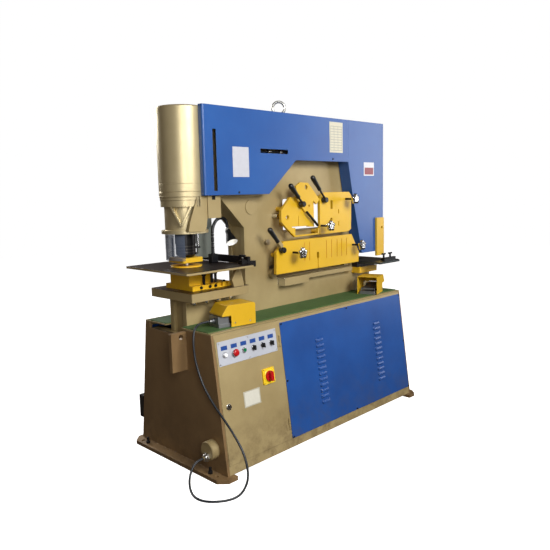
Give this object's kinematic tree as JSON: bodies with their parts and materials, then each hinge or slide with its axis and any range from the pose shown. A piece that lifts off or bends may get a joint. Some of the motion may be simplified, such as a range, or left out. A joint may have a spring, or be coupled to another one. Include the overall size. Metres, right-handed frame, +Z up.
{
  "type": "ironworker machine",
  "caption": "Hydraulic ironworker on a sloped cabinet: punch at the left, blade shear with yellow hold-downs in the middle, notcher at the right, two foot pedals.",
  "frame": {"origin": "on the floor, in the middle of the four anchor holes, which is the middle of the cabinet's footprint", "axes": "+X along the machine from the punch end to the notcher end, -Y towards the operator, +Z up"},
  "size_m": [2.0296, 1.0183, 2.05],
  "materials": {
    "khaki_paint": "satin, worn at edges",
    "gold_paint": "glossy metallic",
    "blue_paint": "satin",
    "yellow_paint": "satin, chipped",
    "grey_green_paint": "satin",
    "grey_paint": "satin",
    "green_mat": "matt",
    "bare_steel": "ground",
    "black_steel": "black oxide",
    "chrome": "polished",
    "knob_alloy": "polished",
    "cast_aluminium": "cast, matt",
    "black_plastic": "matt",
    "red_plastic": "gloss",
    "green_plastic": "gloss",
    "yellow_plastic": "gloss",
    "switch_plate_white": "satin",
    "clear_sheet": "clear polycarbonate",
    "cord_rubber": "matt"
  },
  "bodies": {
    "machine": {"bolster": "khaki_paint", "cabinet_body": "khaki_paint", "cabinet_covers": "blue_paint", "cabinet_ends": "khaki_paint", "cable_boss": "khaki_paint", "deck_mat": "green_mat", "deck_plate": "khaki_paint", "die_holder": "yellow_paint", "electrical_panel": "grey_paint", "eye_bolt": "bare_steel", "frame_inner": "khaki_paint", "frame_plate_front": "khaki_paint", "frame_plate_rear": "khaki_paint", "guard_end": "blue_paint", "guard_front": "blue_paint", "guard_rear": "blue_paint", "hold_down_angle": "yellow_paint", "hold_down_bar": "yellow_paint", "hold_down_flat": "yellow_paint", "hydraulic_unit": "grey_paint", "lamp_base": "black_steel", "levelling_screws": "black_steel", "notch_table": "bare_steel", "notcher": "yellow_paint", "pedal_bases": "cast_aluminium", "pedal_cord": "cord_rubber", "pedal_hoods": "yellow_paint", "punch_cylinder": "gold_paint", "punch_table": "khaki_paint", "ram_housing": "khaki_paint", "shear_cylinder": "black_steel", "stripper": "yellow_paint", "stripper_arm": "grey_green_paint"},
    "punch_ram": {"ram": "black_steel", "punch_and_rod": "chrome"},
    "beam": {"shear_beam": "khaki_paint", "beam_tools": "bare_steel"},
    "door": {"electrical_door": "khaki_paint", "switch_plate": "switch_plate_white", "main_switch_plate": "yellow_plastic"},
    "door_lock": {"door_lock": "chrome"},
    "stop_button": {"stop_button": "red_plastic"},
    "start_button": {"start_button": "green_plastic"},
    "selector_mode": {"selector_mode": "black_plastic"},
    "selector_speed": {"selector_speed": "black_plastic"},
    "selector_lamp": {"selector_lamp": "black_plastic"},
    "main_switch_knob": {"main_switch_knob": "red_plastic"},
    "star_knob_bar": {"star_knob_bar": "knob_alloy"},
    "star_knob_angle": {"star_knob_angle": "knob_alloy"},
    "star_knob_left": {"star_knob_left": "knob_alloy"},
    "star_knob_right": {"star_knob_right": "knob_alloy"},
    "lever_flat": {"lever_flat": "black_plastic"},
    "lever_angle": {"lever_angle": "black_plastic"},
    "lever_bar": {"lever_bar": "black_plastic"},
    "treadle_left": {"treadle_left": "cast_aluminium"},
    "treadle_right": {"treadle_right": "cast_aluminium"},
    "punch_shield": {"punch_shield": "clear_sheet"},
    "lamp_head": {"lamp_head": "black_steel"},
    "table_fence": {"table_fence": "black_steel"},
    "shear_rod": {"shear_rod": "chrome"}
  },
  "joints": [
    {"name": "ram_stroke", "type": "slide", "parent": "machine", "child": "punch_ram", "axis": [0, 0, 1], "range_m": [0, 0.06]},
    {"name": "shear_beam_rock", "type": "hinge", "parent": "machine", "child": "beam", "pos_m": [-0.33, 0.024, 1.4], "axis": [0, 1, 0], "range_deg": [0, 5]},
    {"name": "shear_rod_slide", "type": "slide", "parent": "machine", "child": "shear_rod", "axis": [0, 0, -1], "range_m": [0, 0.095]},
    {"name": "door_hinge", "type": "hinge", "parent": "machine", "child": "door", "pos_m": [-0.386, -0.3529, 0.40079], "axis": [0, 0.1312, 0.9913], "range_deg": [0, 110]},
    {"name": "door_lock_turn", "type": "hinge", "parent": "door", "child": "door_lock", "pos_m": [-0.811, -0.35539, 0.3767], "axis": [0, -0.9913, 0.1312], "range_deg": [-90, 0]},
    {"name": "stop_button_push", "type": "slide", "parent": "door", "child": "stop_button", "axis": [0, 0.9913, -0.1312], "range_m": [0, 0.004], "stiffness_N_per_m": 600, "springref_m": -0.002},
    {"name": "start_button_push", "type": "slide", "parent": "door", "child": "start_button", "axis": [0, 0.9913, -0.1312], "range_m": [0, 0.003], "stiffness_N_per_m": 400, "springref_m": -0.002},
    {"name": "selector_mode_turn", "type": "hinge", "parent": "door", "child": "selector_mode", "pos_m": [-0.5934, -0.31977, 0.6457], "axis": [0, -0.9913, 0.1312], "range_deg": [-45, 45]},
    {"name": "selector_speed_turn", "type": "hinge", "parent": "door", "child": "selector_speed", "pos_m": [-0.5252, -0.31977, 0.6457], "axis": [0, -0.9913, 0.1312], "range_deg": [-45, 45]},
    {"name": "selector_lamp_turn", "type": "hinge", "parent": "door", "child": "selector_lamp", "pos_m": [-0.457, -0.31977, 0.6457], "axis": [0, -0.9913, 0.1312], "range_deg": [-45, 45]},
    {"name": "main_switch_turn", "type": "hinge", "parent": "door", "child": "main_switch_knob", "pos_m": [-0.508, -0.34294, 0.4707], "axis": [0, -0.9913, 0.1312], "range_deg": [0, 90]},
    {"name": "star_knob_bar_turn", "type": "hinge", "parent": "machine", "child": "star_knob_bar", "pos_m": [0.468, -0.18, 1.428], "axis": [0, -1, 0], "continuous": true},
    {"name": "star_knob_angle_turn", "type": "hinge", "parent": "machine", "child": "star_knob_angle", "pos_m": [0.209, -0.18, 1.262], "axis": [0, -1, 0], "continuous": true},
    {"name": "star_knob_left_turn", "type": "hinge", "parent": "machine", "child": "star_knob_left", "pos_m": [-0.062, -0.18, 1.111], "axis": [0, -1, 0], "continuous": true},
    {"name": "star_knob_right_turn", "type": "hinge", "parent": "machine", "child": "star_knob_right", "pos_m": [0.542, -0.18, 1.113], "axis": [0, -1, 0], "continuous": true},
    {"name": "lever_flat_turn", "type": "hinge", "parent": "machine", "child": "lever_flat", "pos_m": [-0.169, -0.15, 1.135], "axis": [0, -1, 0], "range_deg": [0, 60]},
    {"name": "lever_angle_turn", "type": "hinge", "parent": "machine", "child": "lever_angle", "pos_m": [0.002, -0.15, 1.407], "axis": [0, -1, 0], "range_deg": [0, 45]},
    {"name": "lever_bar_turn", "type": "hinge", "parent": "machine", "child": "lever_bar", "pos_m": [0.233, -0.15, 1.427], "axis": [0, -1, 0], "range_deg": [-45, 0]},
    {"name": "treadle_left_press", "type": "hinge", "parent": "machine", "child": "treadle_left", "pos_m": [-0.56301, -0.21919, 0.804], "axis": [-0.1908, -0.9816, 0], "range_deg": [0, 8], "stiffness_Nm_per_rad": 20, "springref_deg": -5.73},
    {"name": "treadle_right_press", "type": "hinge", "parent": "machine", "child": "treadle_right", "pos_m": [0.60301, -0.22224, 0.804], "axis": [-0.3551, 0.9348, 0], "range_deg": [0, 8], "stiffness_Nm_per_rad": 20, "springref_deg": -5.73},
    {"name": "punch_shield_swing", "type": "hinge", "parent": "machine", "child": "punch_shield", "pos_m": [-0.772, 0.134, 1.2], "axis": [0, 0, 1], "range_deg": [-100, 0]},
    {"name": "lamp_head_turn", "type": "hinge", "parent": "machine", "child": "lamp_head", "pos_m": [-0.46, 0.02, 1.275], "axis": [0, 0, 1], "range_deg": [-90, 40]},
    {"name": "fence_slide", "type": "slide", "parent": "machine", "child": "table_fence", "axis": [1, 0, 0], "range_m": [0, 0.025]}
  ],
  "couplings": [
    {"joint": "shear_rod_slide", "follows": "shear_beam_rock", "m_per_rad": 1.03}
  ]
}
